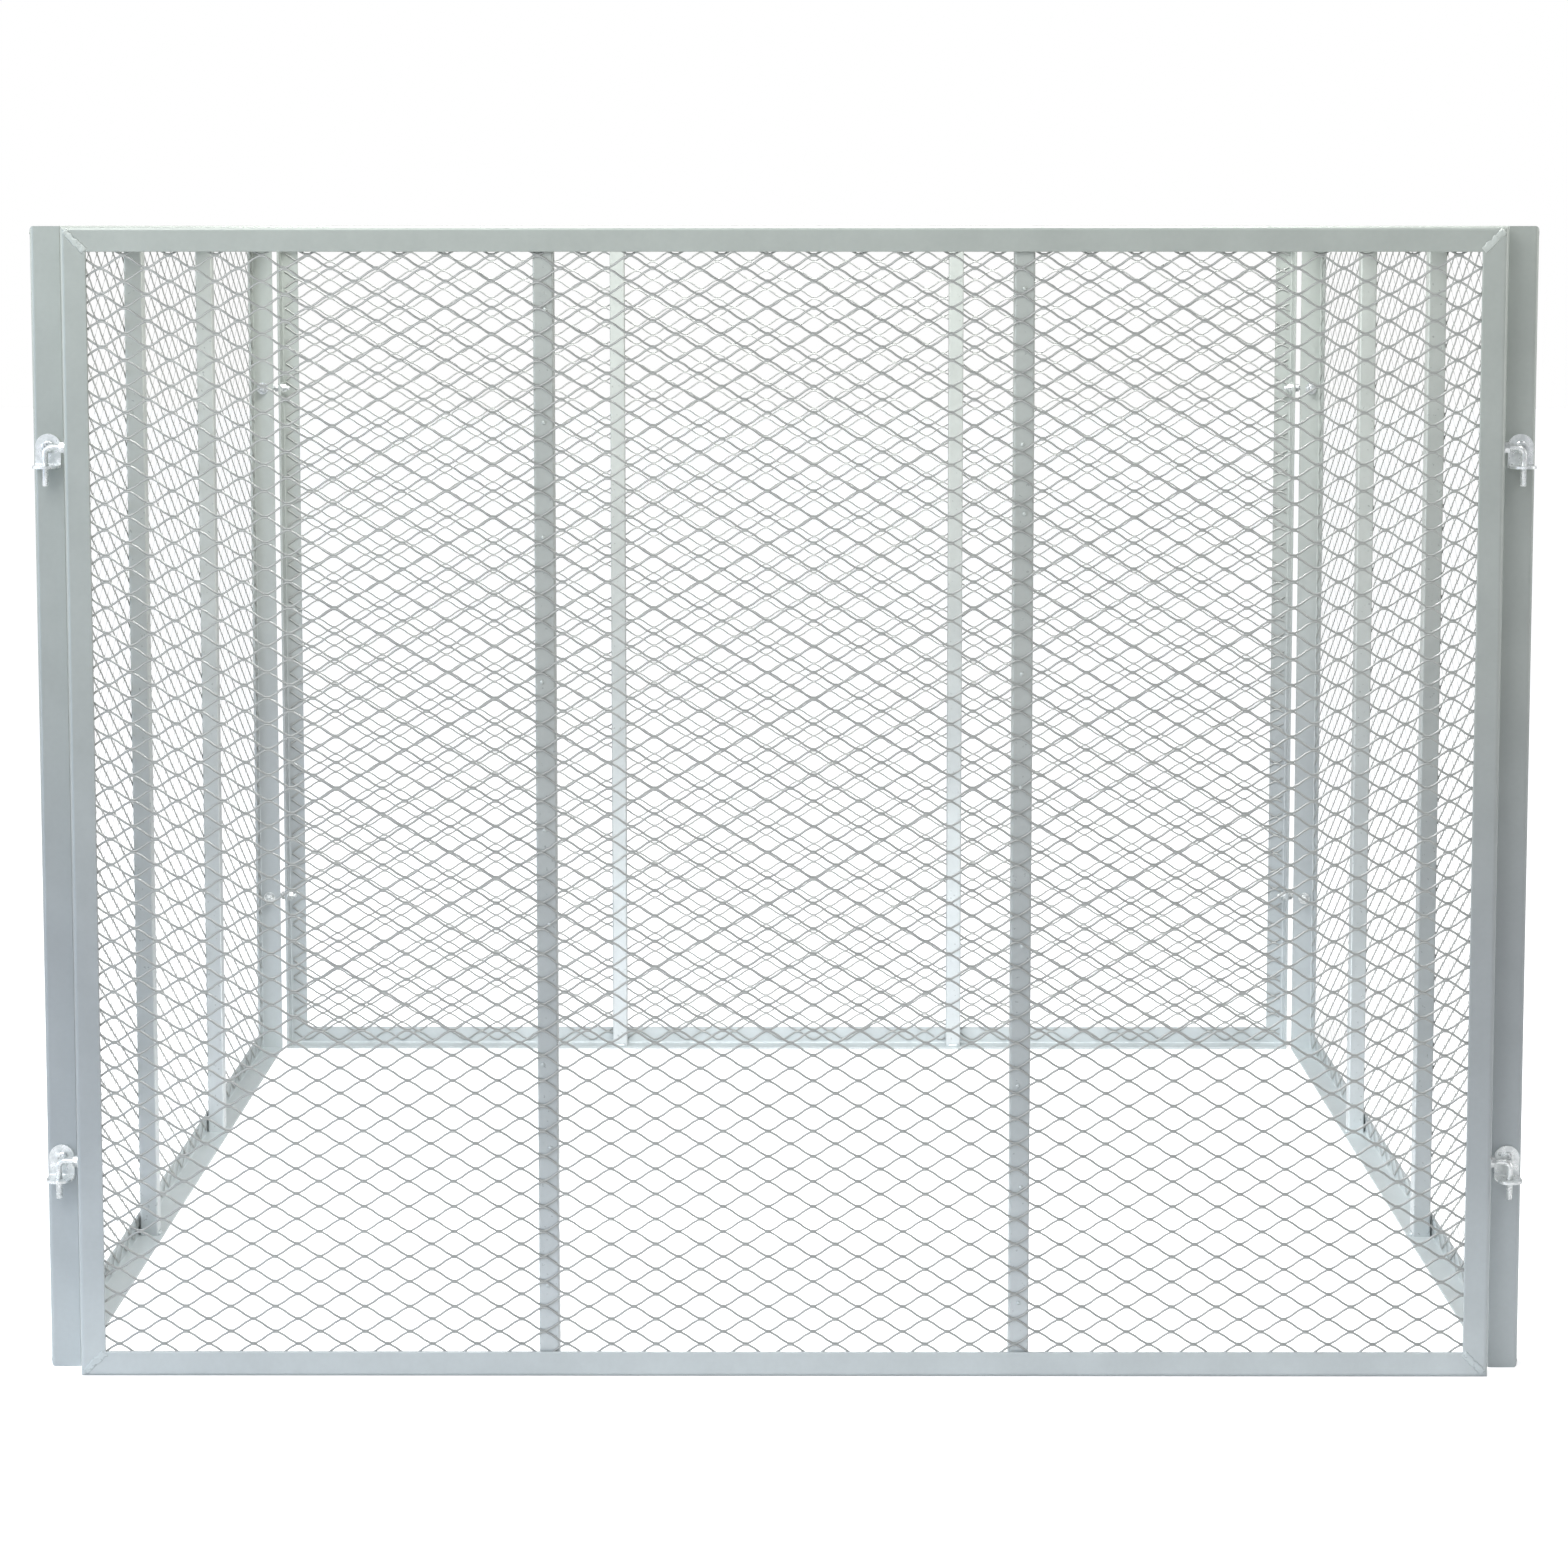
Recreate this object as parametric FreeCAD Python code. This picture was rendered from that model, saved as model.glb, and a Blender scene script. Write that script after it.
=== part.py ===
import FreeCAD, Part
import math
import os

# Free-standing kennel pen: four equal welded panels that hook together at the corners.
# Each panel is a mitred frame of cold-folded steel angle, with expanded metal laid on the
# inside of its face leg and two upright square tubes over the mesh.  The front and rear
# panels carry L-shaped hook bolts.  The side panels carry L brackets with a hole for each
# hook bolt, so a panel lifts off upwards.
# Units are millimetres.  +Z is up, the front panel faces -Y, +X is to the right, and the
# origin is on the floor under the middle of the pen.

V = FreeCAD.Vector

# ---- driving dimensions -------------------------------------------------------------
panel_width = 1400.0          # every panel, outside to outside
panel_height = 1140.0

leg = 25.0                    # angle leg that lies in the panel's face
flange = 30.0                 # angle leg that points into the pen
steel = 3.0                   # thickness of the angle
fold_inner = 1.5              # inner radius of the fold
toe_round = 0.8               # rounding of the two free edges

side_gap = 6.0                # front panel's edge to side panel's flange, along X
depth_gap = 1.5               # front panel's flange to side panel's flange, along Y

mesh_thick = 2.0              # expanded metal, over its strands
mesh_pitch_long = 90.0        # one modelled opening stands for four openings of 45 x 25
mesh_pitch_short = 50.0
mesh_strand = 2.8             # strand width that keeps the mesh's real weight
mesh_inset = 7.0              # sheet edge to the panel's outside
mesh_margin = 5.0             # unbroken rim of the sheet

bar = 20.0                    # square tube across the flats
bar_wall = 1.5
bar_round = 2.0
bars_per_panel = 2

bead_width = 6.0              # dressed weld along a mitre
bead_proud = 0.4
bead_root = 1.5
fillet_leg = 4.0              # fillet weld at the end of a bar

hole_inset = 15.0             # bolt holes to the panel's outer face
hole_heights = (215.0, 925.0)
bolt = 6.0                    # M6 hardware
bolt_hole = 7.0
nut_flats = 10.0
nut_height = 5.0
washer_outer = 16.0
washer_bore = 6.4
washer_thick = 1.6
thread_end = 4.0              # screw thread showing past a nut
tip_chamfer = 0.7
hook_drop = 38.0              # hook's threaded leg to its lower tip
hook_bend = 6.5               # centre-line radius of the hook's bend
nut_clearance = 0.05          # radial, between a nut and its thread

bracket_width = 25.0
bracket_thick = 2.5
bracket_below = 20.5          # bracket's underside to its screw
bracket_fold = 1.5            # inner radius of the bracket's fold
head_width = 12.0             # pan head of the bracket screw
head_height = 3.8
head_round = 1.6
recess_span = 6.4             # cross recess
recess_width = 1.3
recess_depth = 2.2

# ---- worked out from the driving dimensions -----------------------------------------
half = panel_width / 2.0
face_inside = steel                               # mesh lies on the leg's inner face
bar_front = face_inside + mesh_thick
hook_reach = side_gap + hole_inset                # hook's drop, outboard of the panel
bracket_reach = depth_gap + hole_inset            # bracket's hole, outboard of the flange
side_face_x = half + side_gap + flange            # outer face of a side panel
front_face_y = half + depth_gap + flange          # outer face of the front panel
ORIGIN = V(0, 0, 0)
UP = V(0, 0, 1)
ALONG = V(1, 0, 0)


# ---- small helpers ------------------------------------------------------------------
# A panel is drawn in its own frame: X along its width, Y from its outer face inwards.
# For points in a plane, X is the first value and the plane's other axis the second.
def polygon(points):
    """Closed wire through the points, in order."""
    return Part.makePolygon(points + [points[0]])


def prism(points, along):
    """Solid of a closed outline, pushed along a vector."""
    return Part.Face(polygon(points)).extrude(along)


def moved(shape, x=0.0, y=0.0, z=0.0):
    """Copy of a shape moved along the axes."""
    out = shape.copy()
    out.translate(V(x, y, z))
    return out


def turned(shape, degrees, axis=UP, centre=ORIGIN):
    """Copy of a shape turned about a line."""
    out = shape.copy()
    out.rotate(centre, axis, degrees)
    return out


def at_both_ends(shape):
    """A shape drawn at the panel's +X end, and the same shape at its -X end."""
    return [shape, turned(shape, 180.0, centre=V(0, hole_inset, 0))]


def rod(radius, length, start, along):
    """Round rod with a chamfer at its far end."""
    out = Part.makeCylinder(radius, length - tip_chamfer, start, along)
    cone_base = start + along * (length - tip_chamfer)
    tip = Part.makeCone(radius, radius - tip_chamfer, tip_chamfer, cone_base, along)
    return out.fuse(tip)


def hex_nut(start, along):
    """M6 nut with chamfered corners, its first face at start."""
    corner = nut_flats / math.sqrt(3.0)
    ring = []
    for k in range(6):
        turn = math.radians(60.0 * k + 30.0)
        ring.append(V(corner * math.cos(turn), corner * math.sin(turn), 0))
    body = prism(ring, V(0, 0, nut_height))
    low = nut_flats / 2.0
    slope = (corner - low) * math.tan(math.radians(30.0))
    blank = Part.makeCone(low, corner, slope)
    middle = Part.makeCylinder(corner, nut_height - 2.0 * slope, V(0, 0, slope))
    top = Part.makeCone(corner, low, slope, V(0, 0, nut_height - slope))
    body = body.common(blank.fuse([middle, top]))
    body = body.cut(Part.makeCylinder(bolt / 2.0 + nut_clearance, nut_height))
    body.Placement = FreeCAD.Placement(start, FreeCAD.Rotation(UP, along))
    return body


def washer(start, along):
    """Flat washer, its first face at start."""
    disc = Part.makeCylinder(washer_outer / 2.0, washer_thick, start, along)
    return disc.cut(Part.makeCylinder(washer_bore / 2.0, washer_thick, start, along))


# ---- frame --------------------------------------------------------------------------
def angle_section():
    """Folded angle, drawn at the -X end: face leg along X, flange along Y."""
    outer = fold_inner + steel
    corner = 1.0 - math.sqrt(0.5)
    lines = [
        Part.makeLine(V(outer, 0, 0), V(leg - toe_round, 0, 0)),
        Part.makeLine(V(leg, toe_round, 0), V(leg, steel, 0)),
        Part.makeLine(V(leg, steel, 0), V(steel + fold_inner, steel, 0)),
        Part.makeLine(V(steel, steel + fold_inner, 0), V(steel, flange, 0)),
        Part.makeLine(V(steel, flange, 0), V(toe_round, flange, 0)),
        Part.makeLine(V(0, flange - toe_round, 0), V(0, outer, 0)),
    ]
    rounds = [
        Part.Arc(V(leg - toe_round, 0, 0), V(leg - corner * toe_round, corner * toe_round, 0),
                 V(leg, toe_round, 0)),
        Part.Arc(V(steel + fold_inner, steel, 0),
                 V(steel + corner * fold_inner, steel + corner * fold_inner, 0),
                 V(steel, steel + fold_inner, 0)),
        Part.Arc(V(toe_round, flange, 0), V(corner * toe_round, flange - corner * toe_round, 0),
                 V(0, flange - toe_round, 0)),
        Part.Arc(V(0, outer, 0), V(corner * outer, corner * outer, 0), V(outer, 0, 0)),
    ]
    edges = lines + [arc.toShape() for arc in rounds]
    return Part.Face(Part.Wire(Part.__sortEdges__(edges)))


def mitred(length):
    """Angle standing at X = 0 with both ends cut at 45 degrees, flange on the -X side."""
    blank = angle_section().extrude(V(0, 0, length))
    wide = 2.0 * flange
    outline = [V(0, 0, 0), V(wide, 0, wide), V(wide, 0, length - wide), V(0, 0, length)]
    return blank.common(prism(outline, V(0, wide, 0)))


def mitre_beads():
    """Dressed welds along the four mitres, sunk in a groove of the face legs."""
    start = fold_inner + steel
    run = (leg - toe_round - start) * math.sqrt(2.0)
    points = [V(-bead_width / 2.0, 0, 0), V(0, bead_root, 0), V(bead_width / 2.0, 0, 0)]
    sides = [Part.makeLine(points[0], points[1]), Part.makeLine(points[1], points[2])]
    crown = Part.Arc(points[2], V(0, -bead_proud, 0), points[0]).toShape()
    bead = Part.Face(Part.Wire(sides + [crown])).extrude(V(0, 0, run))
    across = V(0, 1, 0)
    beads = []
    for side in (-1.0, 1.0):
        low = turned(bead, -side * 45.0, across)
        high = turned(bead, side * 45.0 + 180.0, across)
        beads.append(moved(low, side * (half - start), 0, start))
        beads.append(moved(high, side * (half - start), 0, panel_height - start))
    return beads


def frame_pieces(beads):
    """The four members of a panel's frame, drilled for the corner hardware."""
    left = moved(mitred(panel_height), -half)
    right = left.mirror(ORIGIN, ALONG)
    bottom = moved(turned(mitred(panel_width), -90.0, V(0, 1, 0)), half)
    top = moved(bottom.mirror(ORIGIN, UP), 0, 0, panel_height)
    members = {"bottom_rail": bottom, "top_rail": top, "stile_a": left, "stile_b": right}
    reach = panel_width + 2.0 * flange
    holes = []
    for height in hole_heights:
        start = V(-reach / 2.0, hole_inset, height)
        holes.append(Part.makeCylinder(bolt_hole / 2.0, reach, start, ALONG))
    for name, member in members.items():
        tools = beads + (holes if name.startswith("stile") else [])
        members[name] = member.cut(tools)
    return members


# ---- mesh, bars and their welds -----------------------------------------------------
def clipped(points, low, high):
    """A convex outline of (x, z) points cut off at a rectangle."""
    for axis in (0, 1):
        for limit, sign in ((low[axis], 1.0), (high[axis], -1.0)):
            kept = []
            for here, after in zip(points, points[1:] + points[:1]):
                a = sign * (here[axis] - limit)
                b = sign * (after[axis] - limit)
                if a >= 0.0:
                    kept.append(here)
                if a * b < 0.0:
                    share = a / (a - b)
                    kept.append(tuple(p + share * (q - p) for p, q in zip(here, after)))
            points = kept
            if len(points) < 3:
                return []
    return points


def outline_area(points):
    """Area inside a closed outline of (x, z) points."""
    total = 0.0
    for here, after in zip(points, points[1:] + points[:1]):
        total += here[0] * after[1] - after[0] * here[1]
    return abs(total) / 2.0


def mesh_sheet():
    """Expanded metal: diamonds with their long way across, in staggered rows."""
    slope = math.atan2(mesh_pitch_short, mesh_pitch_long)
    reach_x = mesh_pitch_long / 2.0 - mesh_strand / 2.0 / math.sin(slope)
    reach_z = mesh_pitch_short / 2.0 - mesh_strand / 2.0 / math.cos(slope)
    rim = mesh_inset + mesh_margin
    low = (-half + rim, rim)
    high = (half - rim, panel_height - rim)
    smallest = reach_x * reach_z / 20.0
    edge = half - mesh_inset
    top = panel_height - mesh_inset
    corners = [V(-edge, 0, mesh_inset), V(edge, 0, mesh_inset), V(edge, 0, top), V(-edge, 0, top)]
    wires = [polygon(corners)]
    rows = int(panel_height / mesh_pitch_short) + 1
    columns = int(half / mesh_pitch_long) + 1
    for row in range(-rows, rows + 1):
        z = panel_height / 2.0 + row * mesh_pitch_short / 2.0
        stagger = mesh_pitch_long / 2.0 * (row % 2)
        for column in range(-columns - 1, columns + 1):
            x = column * mesh_pitch_long + stagger
            diamond = [(x - reach_x, z), (x, z + reach_z), (x + reach_x, z), (x, z - reach_z)]
            hole = clipped(diamond, low, high)
            if outline_area(hole) > smallest:
                wires.append(polygon([V(p, 0, q) for p, q in hole]))
    return moved(Part.Face(wires).extrude(V(0, mesh_thick, 0)), 0, face_inside)


def upright_bar(x):
    """Square tube standing on the bottom flange, up to the top flange."""
    length = panel_height - 2.0 * steel
    outer = Part.makeBox(bar, bar, length, V(-bar / 2.0, 0, 0))
    inner_size = bar - 2.0 * bar_wall
    inner = Part.makeBox(inner_size, inner_size, length, V(-inner_size / 2.0, bar_wall, 0))
    outer = outer.makeFillet(bar_round, [e for e in outer.Edges if upright(e)])
    inner = inner.makeFillet(bar_round - bar_wall, [e for e in inner.Edges if upright(e)])
    return moved(outer.cut(inner), x, bar_front, steel)


def upright(edge):
    """True for a vertical edge."""
    return abs(edge.tangentAt(edge.FirstParameter).z) > 0.99


def bar_places():
    """Bar centre lines, which share the panel's width equally."""
    step = panel_width / (bars_per_panel + 1)
    return [step * (k + 1) - half for k in range(bars_per_panel)]


def bar_welds():
    """Fillet welds between the inner face of each bar and the two flanges."""
    back = bar_front + bar
    length = bar - 2.0 * bar_round
    welds = []
    for x in bar_places():
        start = x - length / 2.0
        for height, rise in ((steel, fillet_leg), (panel_height - steel, -fillet_leg)):
            outline = [V(start, back, height), V(start, back + fillet_leg, height),
                       V(start, back, height + rise)]
            welds.append(prism(outline, V(length, 0, 0)))
    return welds


# ---- corner hardware ----------------------------------------------------------------
def hook_bolt(height):
    """L-shaped hook bolt through the flange at the panel's +X end, its hook downwards."""
    inner_end = half - steel - washer_thick - nut_height - thread_end
    bend_start = half + hook_reach - hook_bend
    leg_rod = rod(bolt / 2.0, bend_start - inner_end, V(bend_start, 0, 0), V(-1, 0, 0))
    ring = Part.Face(Part.Wire(Part.makeCircle(bolt / 2.0, V(bend_start, 0, 0), ALONG)))
    bend = ring.revolve(V(bend_start, 0, -hook_bend), V(0, 1, 0), 90.0)
    drop_top = V(half + hook_reach, 0, -hook_bend)
    drop = rod(bolt / 2.0, hook_drop - hook_bend, drop_top, V(0, 0, -1))
    hook = leg_rod.fuse([bend, drop]).removeSplitter()
    return moved(hook, 0, hole_inset, height)


def hook_fixings(height):
    """Nuts and washers that clamp a hook bolt to the flange, inside and outside."""
    inner_washer = half - steel - washer_thick
    outer_nut = half + washer_thick
    nuts = [hex_nut(V(x, hole_inset, height), ALONG)
            for x in (inner_washer - nut_height, outer_nut)]
    washers = [washer(V(x, hole_inset, height), ALONG) for x in (inner_washer, half)]
    return nuts, washers


def bracket(height):
    """L bracket on the outer face of the flange at the panel's +X end."""
    r_in = bracket_fold
    r_out = bracket_fold + bracket_thick
    reach = bracket_reach + bracket_width / 2.0
    rise = bracket_below + bracket_width / 2.0
    t = bracket_thick
    corner = 1.0 - math.sqrt(0.5)
    edges = [
        Part.makeLine(V(0, 0, r_out), V(0, 0, rise)),
        Part.makeLine(V(0, 0, rise), V(t, 0, rise)),
        Part.makeLine(V(t, 0, rise), V(t, 0, t + r_in)),
        Part.Arc(V(t, 0, t + r_in), V(t + corner * r_in, 0, t + corner * r_in),
                 V(t + r_in, 0, t)).toShape(),
        Part.makeLine(V(t + r_in, 0, t), V(reach, 0, t)),
        Part.makeLine(V(reach, 0, t), V(reach, 0, 0)),
        Part.makeLine(V(reach, 0, 0), V(r_out, 0, 0)),
        Part.Arc(V(r_out, 0, 0), V(corner * r_out, 0, corner * r_out),
                 V(0, 0, r_out)).toShape(),
    ]
    profile = Part.Face(Part.Wire(edges))
    radius = bracket_width / 2.0
    body = moved(profile.extrude(V(0, bracket_width, 0)), 0, -radius)
    upright_keep = Part.makeBox(reach, bracket_width, bracket_below, V(0, -radius, 0)).fuse(
        Part.makeCylinder(radius, reach, V(0, 0, bracket_below), ALONG))
    level_keep = Part.makeBox(bracket_reach, bracket_width, rise, V(0, -radius, 0)).fuse(
        Part.makeCylinder(radius, rise, V(bracket_reach, 0, 0)))
    body = body.common(upright_keep).common(level_keep)
    screw_hole = Part.makeCylinder(bolt_hole / 2.0, 2.0 * t, V(-t / 2.0, 0, bracket_below), ALONG)
    hook_hole = Part.makeCylinder(bolt_hole / 2.0, 2.0 * t, V(bracket_reach, 0, -t / 2.0))
    body = body.cut([screw_hole, hook_hole]).removeSplitter()
    return moved(body, half, hole_inset, height - bracket_below)


def bracket_fixings(height):
    """Screw, washer and nut that hold a bracket to the flange."""
    seat = half + bracket_thick
    grip = bracket_thick + steel + washer_thick + nut_height + thread_end
    centre = V(seat, hole_inset, height)
    shank = rod(bolt / 2.0, grip, centre, V(-1, 0, 0))
    head = Part.makeCylinder(head_width / 2.0, head_height, centre, ALONG)
    rim = [e for e in head.Edges if e.BoundBox.XMin > seat + head_height / 2.0]
    head = head.makeFillet(head_round, rim)
    screw = shank.fuse(head).removeSplitter()
    start = seat + head_height - recess_depth
    for long_y, long_z in ((recess_span, recess_width), (recess_width, recess_span)):
        corner = V(start, hole_inset - long_y / 2.0, height - long_z / 2.0)
        screw = screw.cut(Part.makeBox(recess_depth + 1.0, long_y, long_z, corner))
    inner = half - steel
    along = V(-1, 0, 0)
    flat = washer(V(inner, hole_inset, height), along)
    nut = hex_nut(V(inner - washer_thick, hole_inset, height), along)
    return screw, nut, flat


# ---- assembly -----------------------------------------------------------------------
def place(shape, side):
    """Move a shape from the panel's own frame to its side of the pen."""
    turn, x, y = PLACES[side]
    return moved(turned(shape, turn), x, y)


# side of the pen: turn about the vertical, then the place of the panel's outer face
PLACES = {
    "front": (0.0, 0.0, -front_face_y),
    "rear": (180.0, 0.0, front_face_y),
    "right": (90.0, side_face_x, 0.0),
    "left": (-90.0, -side_face_x, 0.0),
}
# side of the pen: names of the panel's -X end and +X end
ENDS = {
    "front": ("left", "right"),
    "rear": ("right", "left"),
    "right": ("front", "rear"),
    "left": ("rear", "front"),
}
LEVELS = dict(zip(("lower", "upper"), hole_heights))


def save(name, shapes, side):
    """Write one node: a single solid, or a group of separate solids."""
    placed = [place(shape, side) for shape in shapes]
    whole = placed[0] if len(placed) == 1 else Part.makeCompound(placed)
    solids = whole.Solids
    assert whole.isValid() and len(solids) == len(shapes), name
    whole.exportStep("parts/" + name + ".step")
    print(name, len(solids), round(sum(s.Volume for s in solids) / 1000.0, 2), "cm3")


def save_panel(side, frame, mesh, beads):
    """Write the welded pieces of one panel."""
    end_a, end_b = ENDS[side]
    names = {"stile_a": end_a + "_stile", "stile_b": end_b + "_stile"}
    for key, member in frame.items():
        save(side + "_panel_" + names.get(key, key), [member], side)
    save(side + "_panel_mesh", [mesh], side)
    for end, x in zip(ENDS[side], bar_places()):
        save(side + "_panel_" + end + "_bar", [upright_bar(x)], side)
    save(side + "_panel_welds", beads + bar_welds(), side)


def save_hooks(side):
    """Write the hook bolts of the front or rear panel, with their nuts and washers."""
    all_nuts = []
    all_washers = []
    for level, height in LEVELS.items():
        at_b, at_a = at_both_ends(hook_bolt(height))
        save(side + "_" + ENDS[side][0] + "_" + level + "_hook_bolt", [at_a], side)
        save(side + "_" + ENDS[side][1] + "_" + level + "_hook_bolt", [at_b], side)
        nuts, washers = hook_fixings(height)
        for nut in nuts:
            all_nuts += at_both_ends(nut)
        for flat in washers:
            all_washers += at_both_ends(flat)
    save(side + "_hook_nuts", all_nuts, side)
    save(side + "_hook_washers", all_washers, side)


def save_brackets(side):
    """Write the brackets of a side panel, with their screws, nuts and washers."""
    screws = []
    nuts = []
    washers = []
    for level, height in LEVELS.items():
        at_b, at_a = at_both_ends(bracket(height))
        save(side + "_" + ENDS[side][0] + "_" + level + "_bracket", [at_a], side)
        save(side + "_" + ENDS[side][1] + "_" + level + "_bracket", [at_b], side)
        screw, nut, flat = bracket_fixings(height)
        screws += at_both_ends(screw)
        nuts += at_both_ends(nut)
        washers += at_both_ends(flat)
    save(side + "_bracket_screws", screws, side)
    save(side + "_bracket_nuts", nuts, side)
    save(side + "_bracket_washers", washers, side)


def main():
    os.makedirs("parts", exist_ok=True)
    beads = mitre_beads()
    frame = frame_pieces(beads)
    mesh = mesh_sheet()
    for side in PLACES:
        save_panel(side, frame, mesh, beads)
    for side in ("front", "rear"):
        save_hooks(side)
    for side in ("left", "right"):
        save_brackets(side)


main()
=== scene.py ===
"""Looks of a free-standing kennel pen: painted angle-iron panels, expanded metal and zinc hardware.

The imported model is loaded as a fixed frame.  Rails, stiles, tubes, brackets and fixings keep
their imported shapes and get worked-out finishes.  The expanded metal, the welds and the hook
bolts are built here at full detail, in metres, in the same frame.
"""

import logging
import math
from dataclasses import dataclass, field
from enum import Enum
from typing import Any, Iterable, Optional

import bmesh
import bpy
from mathutils import Matrix, Vector, noise


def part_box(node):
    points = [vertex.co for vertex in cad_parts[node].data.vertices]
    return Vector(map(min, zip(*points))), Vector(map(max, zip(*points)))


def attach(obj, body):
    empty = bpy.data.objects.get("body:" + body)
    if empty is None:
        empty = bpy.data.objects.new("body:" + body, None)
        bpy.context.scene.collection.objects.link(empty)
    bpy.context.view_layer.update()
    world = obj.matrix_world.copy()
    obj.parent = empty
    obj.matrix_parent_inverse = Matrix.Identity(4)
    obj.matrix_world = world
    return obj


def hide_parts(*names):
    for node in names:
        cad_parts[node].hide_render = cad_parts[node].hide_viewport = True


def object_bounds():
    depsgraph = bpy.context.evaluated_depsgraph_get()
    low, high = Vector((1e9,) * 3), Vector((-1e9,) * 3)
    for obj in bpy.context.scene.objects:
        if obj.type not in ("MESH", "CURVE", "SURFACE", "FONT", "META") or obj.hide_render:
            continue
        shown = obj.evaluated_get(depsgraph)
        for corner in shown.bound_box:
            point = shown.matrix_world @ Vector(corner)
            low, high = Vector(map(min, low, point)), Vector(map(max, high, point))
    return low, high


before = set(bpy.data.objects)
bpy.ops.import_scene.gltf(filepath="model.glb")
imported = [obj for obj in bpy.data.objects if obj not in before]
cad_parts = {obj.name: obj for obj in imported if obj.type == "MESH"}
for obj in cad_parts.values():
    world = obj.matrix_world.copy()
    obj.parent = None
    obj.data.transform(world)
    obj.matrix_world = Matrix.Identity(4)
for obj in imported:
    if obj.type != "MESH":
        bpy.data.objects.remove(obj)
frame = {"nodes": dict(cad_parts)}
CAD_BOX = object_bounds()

log = logging.getLogger("kennel_pen")

MM = 0.001
RIM = CAD_BOX[1][2]  # height of the pen's rim above the floor
NOISE_SPREAD = (0.3, 0.7)  # nearly all of a noise texture's values lie between these
PER_STEP = 4  # cross-sections of a strand in half a diamond


class Side(Enum):
    """The four sides of the pen, each with the turn of its panel about the vertical, in degrees."""

    FRONT = ("front", 0.0)
    REAR = ("rear", 180.0)
    LEFT = ("left", -90.0)
    RIGHT = ("right", 90.0)

    @property
    def label(self) -> str:
        """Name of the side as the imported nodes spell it."""
        return self.value[0]

    @property
    def turn(self) -> float:
        """Turn of the panel about the vertical, in radians."""
        return math.radians(self.value[1])

    @property
    def body(self) -> str:
        """Body that the panel moves with."""
        hung = self in (Side.FRONT, Side.REAR)
        return f"{self.label}_panel" if hung else "sides"


class Level(Enum):
    """The two heights at which the corners are hooked together."""

    LOWER = "lower"
    UPPER = "upper"


# ---- shared helpers -----------------------------------------------------------------
def linear(hex_colour: str, alpha: float = 1.0) -> tuple[float, float, float, float]:
    """Turn an sRGB hex colour into linear values.

    Args:
        hex_colour: colour such as "#a0a8a8".
        alpha: fourth value of the result.

    Returns:
        Red, green, blue and alpha, from 0 to 1.
    """
    values = []
    for start in (1, 3, 5):
        share = int(hex_colour[start : start + 2], 16) / 255.0
        values.append(share / 12.92 if share <= 0.04045 else ((share + 0.055) / 1.055) ** 2.4)
    return (values[0], values[1], values[2], alpha)


def add_node(
    tree: bpy.types.NodeTree,
    kind: str,
    settings: Optional[dict[str, Any]] = None,
    inputs: Optional[dict[Any, Any]] = None,
) -> bpy.types.Node:
    """Add a node to a shader or geometry tree, with its settings and links.

    Args:
        tree: tree that gets the node.
        kind: Blender's identifier of the node.
        settings: properties of the node, by name.
        inputs: for each input socket's name or number, a value or another node's output socket.

    Returns:
        The new node.
    """
    node = tree.nodes.new(kind)
    for name, value in (settings or {}).items():
        setattr(node, name, value)
    for key, value in (inputs or {}).items():
        if isinstance(value, bpy.types.NodeSocket):
            tree.links.new(value, node.inputs[key])
        else:
            node.inputs[key].default_value = value
    return node


def per_metre(size_mm: float) -> float:
    """Scale of a noise texture whose features are about this size, on coordinates in metres."""
    return 1.0 / (size_mm * MM)


def dress_shader(
    tree: bpy.types.NodeTree,
    colour: bpy.types.NodeSocket,
    roughness: bpy.types.NodeSocket,
    relief: bpy.types.NodeSocket,
    depth_mm: float,
    metallic: float,
) -> None:
    """Link a finish's colour, gloss and relief to its shader.

    Args:
        tree: node tree of the material.
        colour: colour over the surface.
        roughness: roughness over the surface.
        relief: height of the fine relief, from 0 to 1.
        depth_mm: depth of that relief, in millimetres.
        metallic: share of the finish that is bare metal.
    """
    shader = tree.nodes["Principled BSDF"]
    bump = add_node(
        tree,
        "ShaderNodeBump",
        inputs={"Height": relief, "Distance": depth_mm * MM, "Strength": 1.0},
    )
    tree.links.new(colour, shader.inputs["Base Color"])
    tree.links.new(roughness, shader.inputs["Roughness"])
    tree.links.new(bump.outputs[0], shader.inputs["Normal"])
    shader.inputs["Metallic"].default_value = metallic


def to_piece(name: str, mesh: bpy.types.Mesh) -> bpy.types.Object:
    """Link a finished mesh into the scene as a piece at the origin.

    Args:
        name: name of the piece.
        mesh: mesh with its place in its points.

    Returns:
        The piece.
    """
    piece = bpy.data.objects.new(name, mesh)
    bpy.context.scene.collection.objects.link(piece)
    return piece


def loft(shape: bmesh.types.BMesh, rings: list[list[Vector]]) -> None:
    """Skin a closed solid over rings of points, with flat ends.

    Args:
        shape: mesh that gets the solid.
        rings: rings with the same number of points, in order along the solid.
    """
    rows = [[shape.verts.new(point) for point in ring] for ring in rings]
    count = len(rows[0])
    for lower, upper in zip(rows, rows[1:]):
        for k in range(count):
            after = (k + 1) % count
            shape.faces.new((lower[k], lower[after], upper[after], upper[k]))
    shape.faces.new(list(reversed(rows[0])))
    shape.faces.new(rows[-1])


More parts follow.
